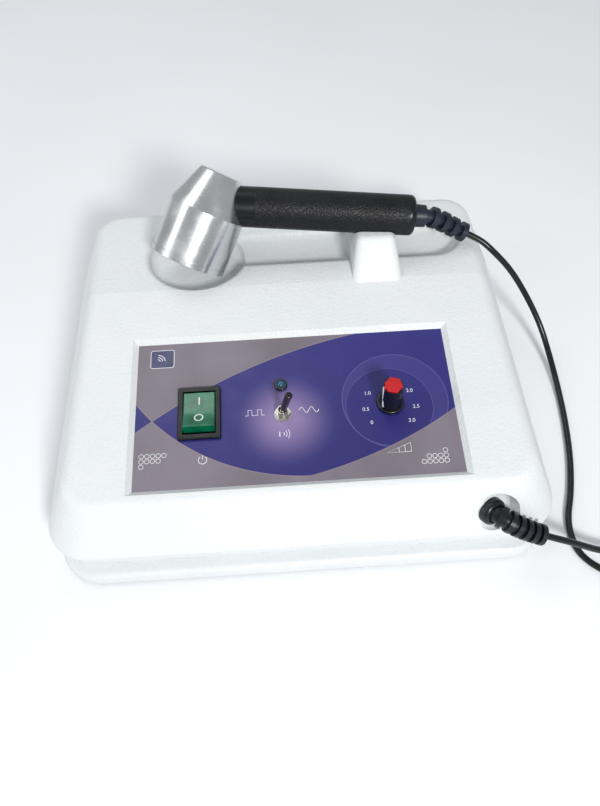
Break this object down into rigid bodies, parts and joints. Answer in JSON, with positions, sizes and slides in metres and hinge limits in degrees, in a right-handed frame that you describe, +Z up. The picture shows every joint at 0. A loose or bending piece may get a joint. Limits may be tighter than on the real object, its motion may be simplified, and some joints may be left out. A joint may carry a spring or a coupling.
{
  "type": "ultrasound therapy device",
  "caption": "Wedge-shaped desk unit with a sloping control panel, and an angled ultrasound handpiece resting across its rear cradle on a thin lead.",
  "frame": {"origin": "centre of the case's base, on the table", "axes": "+Z up, +X to the user's right, +Y to the rear"},
  "size_m": [0.408, 0.284, 0.1282],
  "materials": {
    "case_shell": "fine pebble texture",
    "tray_shell": "fine pebble texture",
    "foot_rubber": "matt",
    "plated_screw": "zinc plated",
    "panel_print": "printed film on a plate",
    "switch_black": "satin",
    "rocker_green": "clear tinted plastic",
    "lamp_black": "satin",
    "lamp_lens": "tinted lens",
    "nickel": "nickel plated",
    "sleeve_plastic": "gloss",
    "pot_metal": "cast",
    "knob_black": "satin",
    "knob_red": "satin",
    "knob_white": "painted line",
    "gland_black": "flexible, satin",
    "nut_black": "moulded",
    "inlet_black": "moulded",
    "fuse_glass": "clear",
    "core_steel": "varnished laminations",
    "winding_tape": "tape",
    "bracket_steel": "pressed",
    "board_green": "solder mask",
    "brass": "turned",
    "capacitor_sleeve": "shrink sleeve",
    "heatsink_black": "anodised",
    "chip_black": "moulded",
    "ferrite": "ferrite",
    "header_white": "moulded",
    "head_aluminium": "turned",
    "face_aluminium": "turned",
    "ceramic": "fired ceramic with silvered faces",
    "seal_rubber": "silicone",
    "ring_brass": "turned",
    "tube_aluminium": "drawn",
    "grip_black": "fine texture",
    "relief_navy": "flexible, satin",
    "lead_jacket": "satin",
    "tie_black": "woven"
  },
  "bodies": {
    "housing": {"upper_case": "case_shell", "base_tray": "tray_shell", "feet": "foot_rubber", "case_screws": "plated_screw", "front_panel": "panel_print", "switch_body": "switch_black", "switch_terminals": "plated_screw", "lamp_holder": "lamp_black", "lamp_lens": "lamp_lens", "toggle_body": "switch_black", "toggle_bushing": "nickel", "toggle_nut": "nickel", "pot_body": "pot_metal", "case_strain_relief": "gland_black", "gland_nut": "nut_black", "mains_inlet": "inlet_black", "inlet_pins": "nickel", "inlet_screws": "plated_screw", "transformer_core": "core_steel", "transformer_winding": "winding_tape", "transformer_bracket": "bracket_steel", "transformer_screws": "plated_screw", "main_board": "board_green", "board_standoffs": "brass", "board_screws": "plated_screw", "capacitors": "capacitor_sleeve", "heatsink": "heatsink_black", "power_transistors": "chip_black", "output_core": "ferrite", "circuit_chips": "chip_black", "pin_headers": "header_white", "handpiece_lead": "lead_jacket", "return_lead": "lead_jacket", "lead_coil": "lead_jacket", "lead_tie": "tie_black"},
    "rocker": {"rocker_button": "rocker_green"},
    "toggle": {"toggle_lever": "nickel", "toggle_sleeve": "sleeve_plastic"},
    "knob": {"knob_shaft": "nickel", "knob_body": "knob_black", "knob_cap": "knob_red", "knob_pointer": "knob_white"},
    "fuse_drawer": {"fuse_drawer": "inlet_black", "fuse": "fuse_glass"},
    "handpiece": {"head_body": "head_aluminium", "face_plate": "face_aluminium", "piezo_disc": "ceramic", "face_seal": "seal_rubber", "backing_ring": "ring_brass", "contact_spring": "ring_brass", "handle_tube": "tube_aluminium", "handle_grip": "grip_black", "handle_strain_relief": "relief_navy"}
  },
  "joints": [
    {"name": "rocker_tilt", "type": "hinge", "parent": "housing", "child": "rocker", "pos_m": [-0.0561, -0.04565, 0.05563], "axis": [1, 0, 0], "range_deg": [0, 18]},
    {"name": "toggle_throw", "type": "hinge", "parent": "housing", "child": "toggle", "pos_m": [-0.0078, -0.05011, 0.06361], "axis": [0, 0.9945, 0.1045], "range_deg": [-26, 0]},
    {"name": "knob_turn", "type": "hinge", "parent": "housing", "child": "knob", "pos_m": [0.0552, -0.04669, 0.05974], "axis": [0, 0.1045, -0.9945], "range_deg": [0, 270]},
    {"name": "fuse_drawer_slide", "type": "slide", "parent": "housing", "child": "fuse_drawer", "axis": [0, 1, 0], "range_m": [0, 0.018]},
    {"name": "handpiece_lift", "type": "slide", "parent": "housing", "child": "handpiece", "axis": [0, 0, 1], "range_m": [0, 0.06]}
  ]
}
